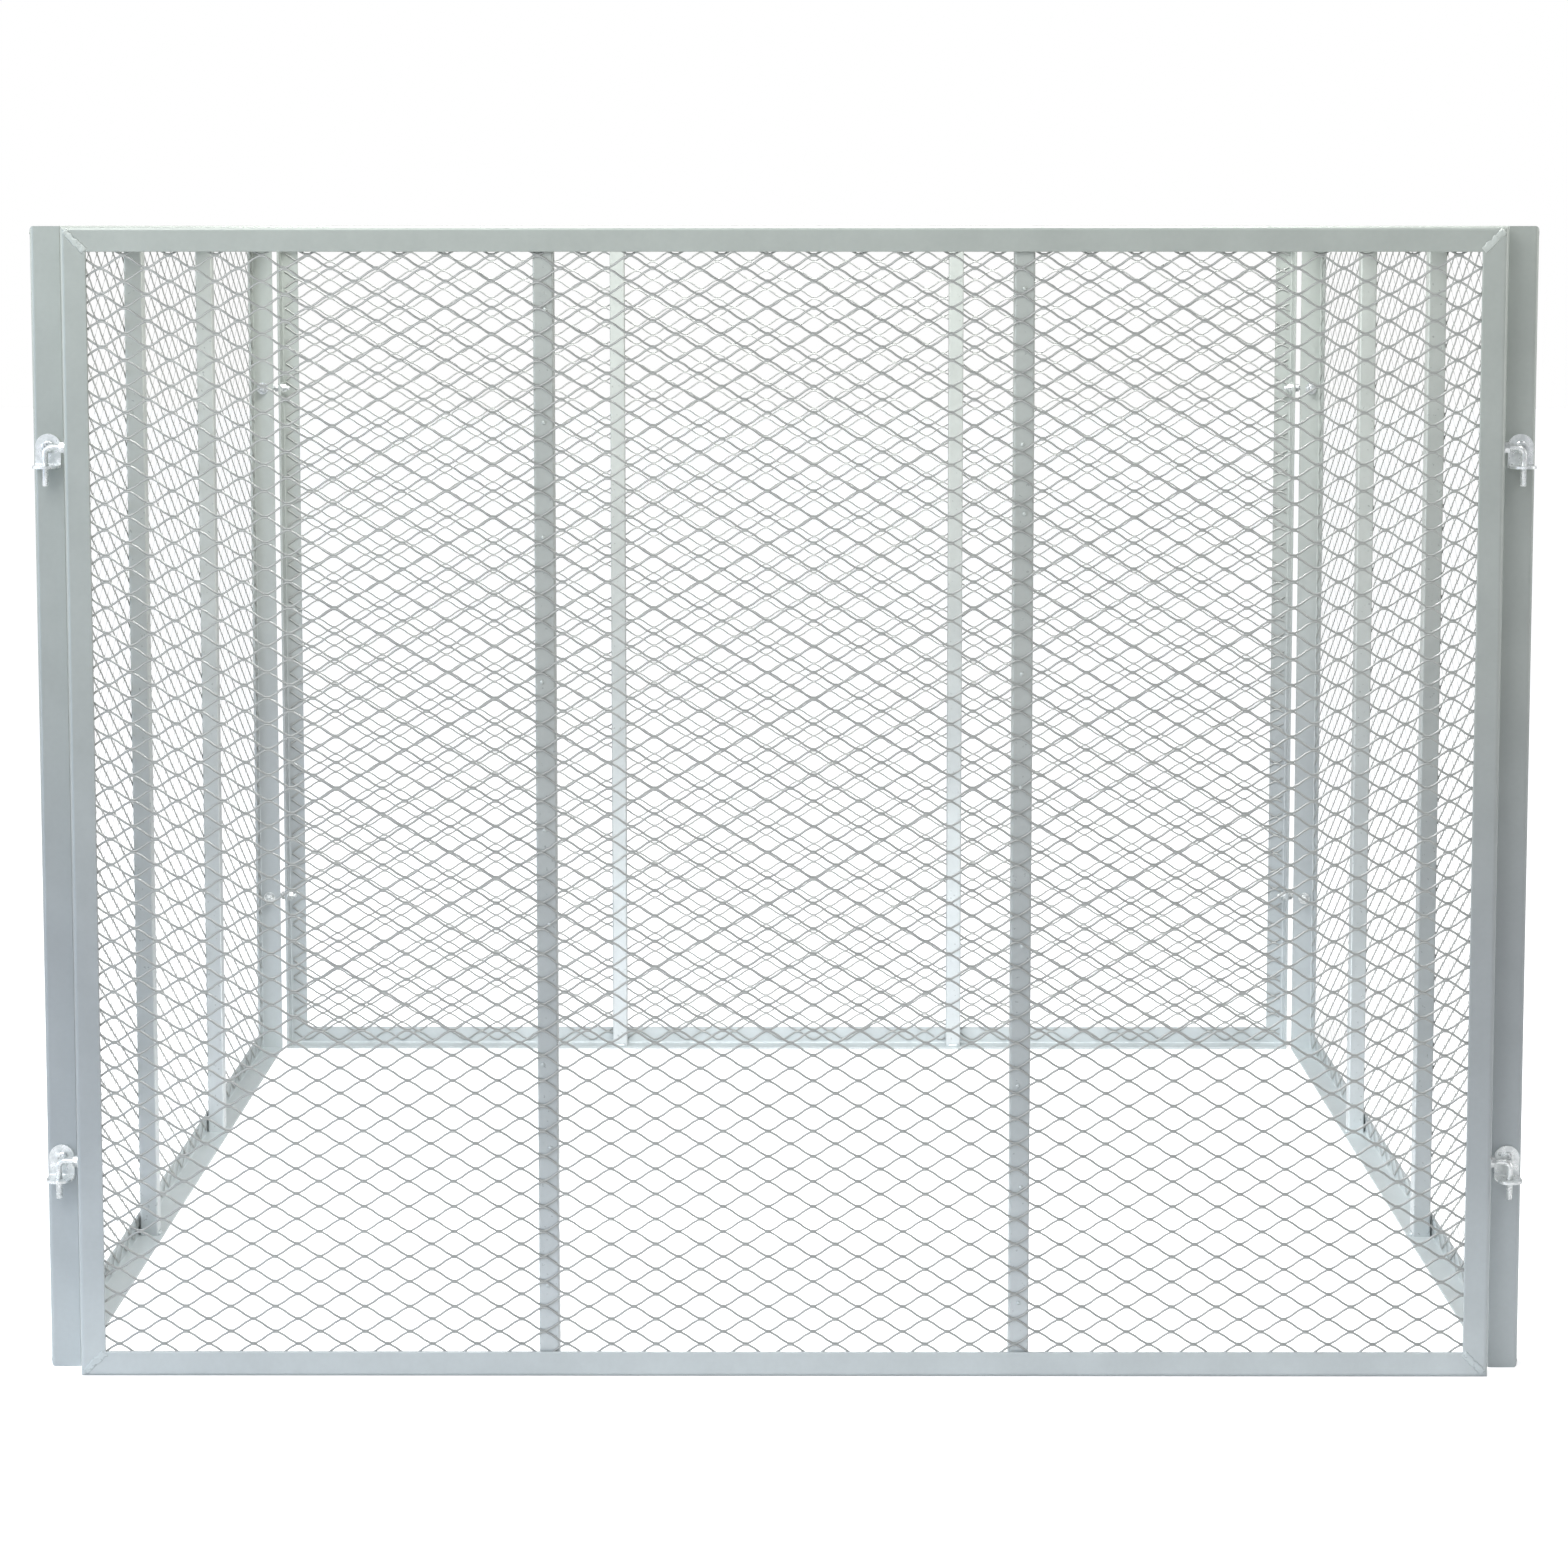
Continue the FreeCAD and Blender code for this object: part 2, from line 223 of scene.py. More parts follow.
# ---- finishes -----------------------------------------------------------------------
@dataclass(frozen=True)
class PowderCoat:
    """Silver-grey polyester powder coat, sprayed and baked on steel.

    It gives the eye a satin grey with a fine orange peel, a soft sheen that goes white at a
    glancing angle, and faint clouding where the coat is thicker or has been handled.  Its
    tones by height also carry painted light from the floor and the surroundings.
    """

    name: str
    tones: tuple[tuple[float, str], ...]
    roughness: float = 0.36
    glossier: float = 0.05
    duller: float = 0.07
    metallic: float = 0.25
    peel_mm: float = 1.6
    peel_depth_mm: float = 0.035
    cloud_mm: float = 70.0
    scuff_mm: float = 5.0
    scuff_share: float = 0.4
    clouding: float = 0.07
    clouding_from: float = 0.4
    clouding_to: float = 1.0

    def material(self) -> bpy.types.Material:
        """Build the node material.

        Returns:
            The finished material.
        """
        made = bpy.data.materials.new(self.name)
        made.use_nodes = True
        tree = made.node_tree
        place = add_node(tree, "ShaderNodeTexCoord").outputs["Object"]
        cloud, scuff, peel = (
            add_node(
                tree,
                "ShaderNodeTexNoise",
                inputs={"Vector": place, "Scale": per_metre(size_mm), "Detail": detail},
            ).outputs[0]
            for size_mm, detail in ((self.cloud_mm, 4.0), (self.scuff_mm, 6.0), (self.peel_mm, 2.0))
        )
        both = add_node(
            tree,
            "ShaderNodeMath",
            {"operation": "MULTIPLY_ADD"},
            {0: scuff, 1: self.scuff_share, 2: cloud},
        ).outputs[0]
        gain = add_node(
            tree,
            "ShaderNodeMapRange",
            inputs={
                0: both,
                1: self.clouding_from,
                2: self.clouding_to,
                3: 1.0 - self.clouding,
                4: 1.0 + self.clouding,
            },
        ).outputs[0]
        colour = add_node(
            tree,
            "ShaderNodeVectorMath",
            {"operation": "SCALE"},
            {0: self.tone(tree, place), "Scale": gain},
        ).outputs[0]
        gloss = add_node(
            tree,
            "ShaderNodeMapRange",
            inputs={
                0: scuff,
                1: NOISE_SPREAD[0],
                2: NOISE_SPREAD[1],
                3: self.roughness - self.glossier,
                4: self.roughness + self.duller,
            },
        ).outputs[0]
        dress_shader(tree, colour, gloss, peel, self.peel_depth_mm, self.metallic)
        return made

    def tone(
        self, tree: bpy.types.NodeTree, place: bpy.types.NodeSocket
    ) -> bpy.types.NodeSocket:
        """Tone of the coat by height, with painted light from the floor and the surroundings in it.

        Args:
            tree: node tree of the material.
            place: place on the pen, in metres.

        Returns:
            The colour.
        """
        height = add_node(tree, "ShaderNodeSeparateXYZ", inputs={0: place}).outputs["Z"]
        share = add_node(tree, "ShaderNodeMapRange", inputs={0: height, 1: 0.0, 2: RIM})
        tone = add_node(tree, "ShaderNodeValToRGB", inputs={0: share.outputs[0]})
        stops = tone.color_ramp.elements
        while len(stops) < len(self.tones):
            stops.new(1.0)
        for stop, (place_up, colour_hex) in zip(stops, self.tones):
            stop.position = place_up
            stop.color = linear(colour_hex)
        return tone.outputs[0]


@dataclass(frozen=True)
class BrightZinc:
    """Bright electroplated zinc on pressed and rolled steel.

    It gives the eye a pale, nearly white silver, partly painted reflection: a diffuse share of
    its near-white colour stands in for the white surroundings mirrored in the plating.  It has
    small cloudy patches from the plating bath and fine marks that break up the highlights.
    """

    name: str
    # Near-white colours; with metallic below 1 their diffuse share is painted reflection of the
    # white surroundings.
    light_hex: str = "#f7f9f8"
    dull_hex: str = "#d8dcdb"
    roughness: float = 0.24
    duller: float = 0.14
    metallic: float = 0.6
    patch_mm: float = 6.0
    patch_from: float = 0.35
    patch_to: float = 0.65
    # The plating barrel's marks are finer than this, and are drawn as coarse as they need to show.
    mark_mm: float = 0.9
    mark_depth_mm: float = 0.008

    def material(self) -> bpy.types.Material:
        """Build the node material.

        Returns:
            The finished material.
        """
        made = bpy.data.materials.new(self.name)
        made.use_nodes = True
        tree = made.node_tree
        place = add_node(tree, "ShaderNodeTexCoord").outputs["Object"]
        patch, marks = (
            add_node(
                tree,
                "ShaderNodeTexNoise",
                inputs={"Vector": place, "Scale": per_metre(size_mm), "Detail": 3.0},
            ).outputs[0]
            for size_mm in (self.patch_mm, self.mark_mm)
        )
        spread = add_node(
            tree, "ShaderNodeMapRange", inputs={0: patch, 1: self.patch_from, 2: self.patch_to}
        ).outputs[0]
        colour = add_node(
            tree,
            "ShaderNodeMix",
            {"data_type": "RGBA"},
            {0: spread, 6: linear(self.light_hex), 7: linear(self.dull_hex)},
        ).outputs[2]
        gloss = add_node(
            tree,
            "ShaderNodeMapRange",
            inputs={
                0: patch,
                1: NOISE_SPREAD[0],
                2: NOISE_SPREAD[1],
                3: self.roughness,
                4: self.roughness + self.duller,
            },
        ).outputs[0]
        dress_shader(tree, colour, gloss, marks, self.mark_depth_mm, self.metallic)
        return made


@dataclass(frozen=True)
class StudioPaper:
    """Matt white paper sweep that the pen stands on, with a glow that keeps it white."""

    name: str = "white_paper"
    colour_hex: str = "#ececec"
    roughness: float = 0.9
    glow: float = 0.6

    def material(self) -> bpy.types.Material:
        """Build the material: the glow shows, but it doesn't light the pen.

        Returns:
            The finished material.
        """
        made = bpy.data.materials.new(self.name)
        made.use_nodes = True
        tree = made.node_tree
        shader = tree.nodes["Principled BSDF"]
        shader.inputs["Base Color"].default_value = linear(self.colour_hex)
        shader.inputs["Roughness"].default_value = self.roughness
        shader.inputs["Emission Color"].default_value = linear("#ffffff")
        seen = add_node(tree, "ShaderNodeLightPath").outputs["Is Camera Ray"]
        glow = add_node(tree, "ShaderNodeMath", {"operation": "MULTIPLY"}, {0: seen, 1: self.glow})
        tree.links.new(glow.outputs[0], shader.inputs["Emission Strength"])
        return made


# Tones from the floor (0) to the rim (1): the coat's own grey with painted light in it.  Paler
# and cooler low down, they stand in for the light off a pale floor; greener near the rim, they
# stand in for painted reflections of the surroundings.
FRAME_TONES_WITH_PAINTED_LIGHT = (
    (0.0, "#c3cacb"),
    (0.09, "#b6bdbf"),
    (0.22, "#a6acae"),
    (0.38, "#a1a6a7"),
    (0.62, "#a8ada9"),
    (1.0, "#aeb4ad"),
)
# Painted light: the tubes carry the frame's coat as a paler copy, a painted highlight on them.
TUBE_TONES_WITH_PAINTED_LIGHT = (
    (0.0, "#ccd2d3"),
    (0.09, "#bec4c6"),
    (0.22, "#afb5b6"),
    (0.38, "#acb1b1"),
    (0.62, "#b2b6b2"),
    (1.0, "#b8bdb6"),
)
MESH_TONES_WITH_PAINTED_LIGHT = ((0.0, "#a6a8a6"), (0.5, "#9fa19e"), (0.8, "#a5a7a3"), (1.0, "#acaeaa"))
WELD_TONES_WITH_PAINTED_LIGHT = ((0.0, "#c4cccd"), (0.3, "#b8bebe"), (1.0, "#c6ccc5"))


@dataclass(frozen=True)
class Finishes:
    """Every finish on the pen, made once."""

    frame: bpy.types.Material = field(
        default_factory=lambda: PowderCoat("powder_coat_frame", FRAME_TONES_WITH_PAINTED_LIGHT).material()
    )
    # The tubes' paler copy of the coat paints extra light on them.
    tube: bpy.types.Material = field(
        default_factory=lambda: PowderCoat(
            "powder_coat_tube", TUBE_TONES_WITH_PAINTED_LIGHT, roughness=0.32
        ).material()
    )
    mesh: bpy.types.Material = field(
        default_factory=lambda: PowderCoat(
            "powder_coat_mesh", MESH_TONES_WITH_PAINTED_LIGHT, roughness=0.34
        ).material()
    )
    weld: bpy.types.Material = field(
        default_factory=lambda: PowderCoat(
            "powder_coat_over_weld", WELD_TONES_WITH_PAINTED_LIGHT, roughness=0.3, peel_mm=2.4, peel_depth_mm=0.25
        ).material()
    )
    plate: bpy.types.Material = field(
        default_factory=lambda: BrightZinc("bright_zinc_pressing").material()
    )
    rod: bpy.types.Material = field(
        default_factory=lambda: BrightZinc("bright_zinc_bent_rod", roughness=0.2).material()
    )
    fixing: bpy.types.Material = field(
        default_factory=lambda: BrightZinc(
            "bright_zinc_fixings", dull_hex="#b9bdbd", metallic=0.85
        ).material()
    )


# ---- one panel's own frame ----------------------------------------------------------
@dataclass
class Panel:
    """Where one panel stands, read from its packed rails.

    In the panel's own frame X runs along its width, Y from its outer face inwards, and Z up.
    """

    side: Side
    half: float = 0.0
    height: float = 0.0
    matrix: Matrix = field(default_factory=Matrix)

    def __post_init__(self) -> None:
        """Read the width, the height and the place of the outer face."""
        low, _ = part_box(f"{self.side.label}_panel_bottom_rail")
        _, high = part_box(f"{self.side.label}_panel_top_rail")
        outward = Matrix.Rotation(self.side.turn, 3, "Z") @ Vector((0.0, -1.0, 0.0))
        along = 0 if abs(outward.y) > 0.5 else 1
        self.half = (high[along] - low[along]) / 2.0
        self.height = high.z - low.z
        far = max(low.dot(outward), high.dot(outward))
        face = outward * far
        turn = Matrix.Rotation(self.side.turn, 4, "Z")
        self.matrix = Matrix.Translation((face.x, face.y, 0.0)) @ turn

    def add(self, name: str, mesh: bpy.types.Mesh, slot: str, *nodes: str) -> bpy.types.Object:
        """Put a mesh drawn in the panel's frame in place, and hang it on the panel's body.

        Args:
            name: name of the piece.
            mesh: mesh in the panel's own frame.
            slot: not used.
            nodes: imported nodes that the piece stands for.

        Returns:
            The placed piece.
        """
        mesh.transform(self.matrix)
        piece = to_piece(name, mesh)
        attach(piece, self.side.body)
        if nodes:
            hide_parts(*nodes)
        log.info("%s: %d faces on %s", name, len(mesh.polygons), self.side.body)
        return piece


# ---- expanded metal -----------------------------------------------------------------
@dataclass
class ExpandedMetal:
    """Raised expanded metal: zigzag strands that are joined at their bonds.

    Each zigzag lies flat at its bonds and is twisted between them, as it leaves the press.
    """

    long_way: float = 44.55 * MM
    short_way: float = 25.4 * MM
    strand: float = 2.15 * MM
    gauge: float = 0.36 * MM
    bond_half: float = 2.3 * MM
    bond_lap: float = 0.85 * MM
    softness: float = 0.5
    flat_tilt: float = math.radians(-3.0)
    strand_tilt: float = math.radians(-18.0)
    inset: float = 7.0 * MM
    layer: float = 4.0 * MM
    phase_along: float = 6.6 * MM

    LENGTHS = (
        "Long way",
        "Short way",
        "Strand",
        "Gauge",
        "Bond half",
        "Bond lap",
        "Softness",
        "Flat tilt",
        "Strand tilt",
        "Reach",
        "Start height",
        "Layer",
        "Phase along",
    )
    COUNTS = ("First section", "Sections", "Rows")

    # Sums of a strand's line, in order: what each gives, its operation, and what it works on.
    SUMS = (
        ("number", "ADD", "index", "First section"),
        ("half way", "MULTIPLY", "Long way", 0.5),
        ("part", "DIVIDE", "number", float(PER_STEP)),
        ("step", "FLOOR", "part"),
        ("phase", "FLOORED_MODULO", "number", float(PER_STEP)),
        ("bond", "MULTIPLY", "Bond half", 2.0),
        ("slope", "SUBTRACT", "half way", "bond"),
        ("third", "DIVIDE", "slope", PER_STEP - 1.0),
        ("thirds up", "SUBTRACT", "phase", 1.0),
        ("after bond", "MULTIPLY_ADD", "third", "thirds up", "Bond half"),
        ("at bond", "LESS_THAN", "phase", 0.5),
        ("back", "SUBTRACT", "third", "bond"),
        ("offset", "MULTIPLY_ADD", "at bond", "back", "after bond"),
        ("from middle", "MULTIPLY_ADD", "step", "half way", "offset"),
        ("along", "ADD", "from middle", "Phase along"),
        ("left edge", "MULTIPLY", "Reach", -1.0),
        ("cut left", "MAXIMUM", "along", "left edge"),
        ("x", "MINIMUM", "cut left", "Reach"),
        ("x in pattern", "SUBTRACT", "x", "Phase along"),
        ("wave", "PINGPONG", "x in pattern", "half way"),
        ("past bond", "SUBTRACT", "wave", "Bond half"),
        ("up slope", "DIVIDE", "past bond", "slope"),
        ("not below", "MAXIMUM", "up slope", 0.0),
        ("share", "MINIMUM", "not below", 1.0),
        ("square", "MULTIPLY", "share", "share"),
        ("three less two", "MULTIPLY_ADD", "share", -2.0, 3.0),
        ("smooth", "MULTIPLY", "square", "three less two"),
        ("bow", "SUBTRACT", "smooth", "share"),
        ("rise", "MULTIPLY_ADD", "bow", "Softness", "share"),
        ("half row", "MULTIPLY", "Short way", 0.5),
        ("high", "SUBTRACT", "half row", "Bond lap"),
        ("span", "SUBTRACT", "high", "Bond lap"),
        ("climb", "MULTIPLY", "rise", "span"),
        ("climbing", "ADD", "climb", "Bond lap"),
        ("falling", "SUBTRACT", "high", "climb"),
        ("fold", "PINGPONG", "rise", 0.5),
        ("quick", "MULTIPLY", "fold", 4.0),
        ("turned", "MINIMUM", "quick", 1.0),
        ("twist", "SUBTRACT", "Strand tilt", "Flat tilt"),
        ("tilt", "MULTIPLY_ADD", "turned", "twist", "Flat tilt"),
    )

    def tree(self, material: bpy.types.Material) -> tuple[bpy.types.NodeTree, dict[str, str]]:
        """Build the geometry tree of one sheet.

        Args:
            material: finish of the strands.

        Returns:
            The tree, and the identifier of each named input.
        """
        tree = bpy.data.node_groups.new("expanded_metal", "GeometryNodeTree")
        tree.interface.new_socket("Geometry", in_out="OUTPUT", socket_type="NodeSocketGeometry")
        ids = {}
        for names, kind in ((self.LENGTHS, "NodeSocketFloat"), (self.COUNTS, "NodeSocketInt")):
            for name in names:
                socket = tree.interface.new_socket(name, in_out="INPUT", socket_type=kind)
                ids[name] = socket.identifier
        given = add_node(tree, "NodeGroupInput").outputs
        joined = add_node(tree, "GeometryNodeJoinGeometry")
        for odd in (0, 1):
            strip = self.strip(tree, given, odd)
            rows = self.rows(tree, given, odd)
            copies = add_node(
                tree, "GeometryNodeInstanceOnPoints", inputs={"Points": rows, "Instance": strip}
            )
            tree.links.new(copies.outputs[0], joined.inputs[0])
        real = add_node(tree, "GeometryNodeRealizeInstances", inputs={0: joined.outputs[0]})
        painted = add_node(
            tree,
            "GeometryNodeSetMaterial",
            inputs={"Geometry": real.outputs[0], "Material": material},
        )
        add_node(tree, "NodeGroupOutput", inputs={0: painted.outputs[0]})
        return tree, ids

    def rows(self, tree: bpy.types.NodeTree, given: Any, odd: int) -> bpy.types.NodeSocket:
        """Points up the sheet where every second zigzag lies.

        Args:
            tree: geometry tree.
            given: outputs of the tree's input node.
            odd: 0 for the lowest zigzag's family, 1 for the next one's.

        Returns:
            The points.
        """
        half_row = add_node(
            tree, "ShaderNodeMath", {"operation": "MULTIPLY"}, {0: given["Short way"], 1: odd * 0.5}
        )
        start = add_node(
            tree,
            "ShaderNodeMath",
            {"operation": "ADD"},
            {0: half_row.outputs[0], 1: given["Start height"]},
        )
        first = add_node(
            tree, "ShaderNodeCombineXYZ", inputs={"Y": given["Layer"], "Z": start.outputs[0]}
        )
        step = add_node(tree, "ShaderNodeCombineXYZ", inputs={"Z": given["Short way"]})
        line = add_node(
            tree,
            "GeometryNodeMeshLine",
            {"mode": "OFFSET"},
            {"Count": given["Rows"], "Start Location": first.outputs[0], "Offset": step.outputs[0]},
        )
        return line.outputs[0]

    def strip(self, tree: bpy.types.NodeTree, given: Any, odd: int) -> bpy.types.NodeSocket:
        """One zigzag strand across the sheet.

        Four cross-sections make each half of a zigzag: two at the ends of a bond and two
        on the slope, whose line is an S between the bonds.

        Args:
            tree: geometry tree.
            given: outputs of the tree's input node.
            odd: 0 where bonds at even places are low, 1 where they are high.

        Returns:
            The strand's mesh.
        """
        known = {"index": add_node(tree, "GeometryNodeInputIndex").outputs[0]}
        for name in self.LENGTHS + self.COUNTS:
            known[name] = given[name]
        for result, operation, *terms in self.SUMS:
            values = {place: known.get(term, term) for place, term in enumerate(terms)}
            node = add_node(tree, "ShaderNodeMath", {"operation": operation}, values)
            known[result] = node.outputs[0]
        z = known["falling"] if odd else known["climbing"]
        line = add_node(tree, "GeometryNodeCurvePrimitiveLine").outputs[0]
        points = add_node(
            tree, "GeometryNodeResampleCurve", inputs={"Curve": line, "Count": given["Sections"]}
        ).outputs[0]
        place = add_node(tree, "ShaderNodeCombineXYZ", inputs={"X": known["x"], "Z": z}).outputs[0]
        zigzag = add_node(
            tree, "GeometryNodeSetPosition", inputs={"Geometry": points, "Position": place}
        ).outputs[0]
        upright = add_node(
            tree, "GeometryNodeSetCurveNormal", {"mode": "Z_UP"}, {"Curve": zigzag}
        ).outputs[0]
        turned = add_node(
            tree, "GeometryNodeSetCurveTilt", inputs={"Curve": upright, "Tilt": known["tilt"]}
        ).outputs[0]
        section = add_node(
            tree,
            "GeometryNodeCurvePrimitiveQuadrilateral",
            inputs={"Width": given["Gauge"], "Height": given["Strand"]},
        ).outputs[0]
        swept = add_node(
            tree,
            "GeometryNodeCurveToMesh",
            inputs={"Curve": turned, "Profile Curve": section, "Fill Caps": True},
        )
        return swept.outputs[0]

    def section_place(self, number: int) -> float:
        """Place along the sheet of a strand's cross-section, as the tree works it out.

        Args:
            number: number of the cross-section, from the pattern's start.

        Returns:
            The place, from the middle of the sheet.
        """
        step, phase = divmod(number, PER_STEP)
        slope = self.long_way / 2.0 - 2.0 * self.bond_half
        up_slope = (phase - 1) / (PER_STEP - 1.0)
        offset = self.bond_half + slope * up_slope if phase else -self.bond_half
        return step * self.long_way / 2.0 + offset + self.phase_along

    def sections(self, reach: float) -> tuple[int, int]:
        """Cross-sections that a strand needs to be sheared off at both edges of the sheet.

        Args:
            reach: half the sheet's width.

        Returns:
            Number of the first cross-section, and how many there are.
        """
        first = 0
        while self.section_place(first) > -reach:
            first -= 1
        last = 0
        while self.section_place(last) < reach:
            last += 1
        return first, last - first + 1

    def build(self, panel: Panel, material: bpy.types.Material) -> bpy.types.Object:
        """Make one panel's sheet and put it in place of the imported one.

        Args:
            panel: panel that the sheet belongs to.
            material: finish of the strands.

        Returns:
            The placed sheet.
        """
        reach = panel.half - self.inset
        first, sections = self.sections(reach)
        rows = math.floor((panel.height - 2.0 * self.inset) / self.short_way)
        values = {
            "Long way": self.long_way,
            "Short way": self.short_way,
            "Strand": self.strand,
            "Gauge": self.gauge,
            "Bond half": self.bond_half,
            "Bond lap": self.bond_lap,
            "Softness": self.softness,
            "Flat tilt": self.flat_tilt,
            "Strand tilt": self.strand_tilt,
            "Reach": reach,
            "Start height": self.inset,
            "Layer": self.layer,
            "Phase along": self.phase_along,
            "First section": first,
            "Sections": sections,
            "Rows": rows,
        }
        tree, ids = self.tree(material)
        mesh = run_tree(tree, ids, values)
        name = f"{panel.side.label}_expanded_metal"
        return panel.add(name, mesh, "mesh_paint", f"{panel.side.label}_panel_mesh")


def run_tree(
    tree: bpy.types.NodeTree, ids: dict[str, str], values: dict[str, Any]
) -> bpy.types.Mesh:
    """Run a geometry tree and return its result as a plain mesh.

    Args:
        tree: geometry tree.
        ids: identifier of each named input.
        values: value of each named input.

    Returns:
        The mesh, with its materials.
    """
    holder = bpy.data.objects.new("holder", bpy.data.meshes.new("holder"))
    bpy.context.scene.collection.objects.link(holder)
    modifier = holder.modifiers.new("nodes", "NODES")
    modifier.node_group = tree
    for name, value in values.items():
        modifier[ids[name]] = value
    ready = holder.evaluated_get(bpy.context.evaluated_depsgraph_get())
    mesh = bpy.data.meshes.new_from_object(ready)
    holder.modifiers.remove(modifier)
    bpy.data.objects.remove(holder)
    return mesh


# ---- welds --------------------------------------------------------------------------
@dataclass
class PanelWelds:
    """The welds of one panel, all under the paint.

    Four mitre welds are ground nearly flush with the face.  A fillet weld stands at each end
    of each tube, and small tack welds hold the expanded metal to the tubes.  A field with no
    unit is a count or a share of the weld's own size.
    """

    leg: float = 25.0 * MM
    fold: float = 4.5 * MM
    toe: float = 0.8 * MM
    steel: float = 3.0 * MM
    bar_front: float = 5.0 * MM
    bar: float = 20.0 * MM
    ripple_mm: float = 2.2

    bead_width: float = 7.0 * MM
    bead_root: float = 1.45 * MM
    bead_crown: float = 0.36 * MM
    bead_stations: int = 24
    bead_points: int = 9
    bead_grain: float = 1.5
    bead_fill: float = 0.62
    bead_rough: float = 1.1
    bead_lift: float = 0.08
    bead_least: float = 0.06
    bead_stray: float = 0.3
    edge_grain: float = 4.0

    fillet_leg: float = 4.0 * MM
    fillet_length: float = 16.0 * MM
    fillet_stations: int = 12
    fillet_points: int = 6
    fillet_end: float = 0.55
    fillet_fill: float = 0.92
    fillet_rough: float = 0.22

    tack: float = 2.2 * MM
    tack_dome: float = 0.7
    tack_rough: float = 0.25
    tack_rings_up: int = 5
    tack_ring_turn: float = math.radians(20.0)
    tack_points: int = 10
    tack_rows: int = 9
    tack_start: float = 0.6
    tack_gap: float = 0.2
    tack_stray_up: float = 0.5
    tack_stray_across: float = 0.36

    # Steps through the noise from one weld to the next, so that no two are alike.
    panel_step: float = 7.0
    mitre_step: float = 1.3
    fillet_step: float = 2.1
    tack_step: float = 0.9
    tack_up_noise: tuple[float, float] = (3.7, 1.7)
    tack_across_noise: tuple[float, float] = (1.1, 2.3)

    def bead_rings(self, seed: float) -> list[list[Vector]]:
        """Cross-sections of a ground mitre weld that runs along +Z, its crown towards -Y.

        Args:
            seed: place in the noise, so that every weld differs.

        Returns:
            Rings of points from one end to the other.
        """
        run = (self.leg - self.toe - self.fold) * math.sqrt(2.0)
        ripple = self.ripple_mm * MM
        rings = []
        for station in range(self.bead_stations + 1):
            z = run * station / self.bead_stations
            ring = []
            for k in range(self.bead_points):
                across = -1.0 + 2.0 * k / (self.bead_points - 1.0)
                rough = noise.noise(Vector((across * self.bead_grain, seed, z / ripple)))
                edge = math.copysign(self.edge_grain, across)
                spread = noise.noise(Vector((edge, seed, z / (2.0 * ripple))))
                crown = (1.0 - across * across) * (self.bead_fill + self.bead_rough * rough)
                share = min(1.0, max(self.bead_least, crown + self.bead_lift))
                reach = across * self.bead_width * (0.5 + self.bead_stray * spread)
                ring.append(Vector((reach, -self.bead_crown * share, z)))
            ring.append(Vector((0.0, self.bead_root, z)))
            rings.append(ring)
        return rings

    def fillet_rings(self, seed: float) -> list[list[Vector]]:
        """Cross-sections of a fillet weld along +X in the corner of -Y and -Z, bulging out.

        Args:
            seed: place in the noise, so that every weld differs.

        Returns:
            Rings of points from one end to the other.
        """
        rings = []
        for station in range(self.fillet_stations + 1):
            share = station / self.fillet_stations
            x = (share - 0.5) * self.fillet_length
            middle = math.sqrt(max(0.0, 1.0 - (2.0 * share - 1.0) ** 4))
            swell = self.fillet_end + (1.0 - self.fillet_end) * middle
            stray = noise.noise(Vector((x / (self.ripple_mm * MM), seed, 0.0)))
            rough = 1.0 + self.fillet_rough * stray
            size = self.fillet_leg * swell * rough * self.fillet_fill
            ring = [Vector((x, 0.0, 0.0))]
            for k in range(self.fillet_points):
                angle = math.radians(90.0 * k / (self.fillet_points - 1.0))
                ring.append(Vector((x, size * math.cos(angle), size * math.sin(angle))))
            rings.append(ring)
        return rings

    def tack_rings(self, seed: float) -> list[list[Vector]]:
        """Cross-sections of a small round tack weld that stands on Y = 0 towards -Y.

        Args:
            seed: place in the noise, so that every weld differs.

        Returns:
            Rings of points from its foot to its top.
        """
        rings = []
        for station in range(self.tack_rings_up):
            angle = self.tack_ring_turn * station
            height = -self.tack_dome * self.tack * math.sin(angle)
            ring = []
            for k in range(self.tack_points):
                turn = 2.0 * math.pi * k / self.tack_points
                stray = noise.noise(Vector((math.cos(turn), math.sin(turn), seed)))
                radius = self.tack * math.cos(angle) * (1.0 + self.tack_rough * stray)
                ring.append(Vector((radius * math.cos(turn), height, radius * math.sin(turn))))
            rings.append(ring)
        return rings

    def build(self, panel: Panel, material: bpy.types.Material) -> bpy.types.Object:
        """Make one panel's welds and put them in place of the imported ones.

        Args:
            panel: panel that the welds belong to.
            material: finish of the welds.

        Returns:
            The placed welds.
        """
        shape = bmesh.new()
        seed = self.panel_step * list(Side).index(panel.side)
        self.mitres(shape, panel, seed)
        self.tube_ends(shape, panel, seed)
        self.tacks(shape, panel, seed)
        bmesh.ops.recalc_face_normals(shape, faces=shape.faces[:])
        mesh = bpy.data.meshes.new(f"{panel.side.label}_welds")
        shape.to_mesh(mesh)
        shape.free()
        mesh.shade_smooth()
        mesh.materials.append(material)
        label = panel.side.label
        return panel.add(f"{label}_panel_weld_beads", mesh, "weld_paint", f"{label}_panel_welds")

    def place(
        self, shape: bmesh.types.BMesh, rings: list[list[Vector]], matrix: Matrix
    ) -> None:
        """Loft rings that have been put in place by a matrix.

        Args:
            shape: mesh that gets the solid.
            rings: rings of points, as the weld is drawn.
            matrix: where the weld goes on the panel.
        """
        loft(shape, [[matrix @ point for point in ring] for ring in rings])

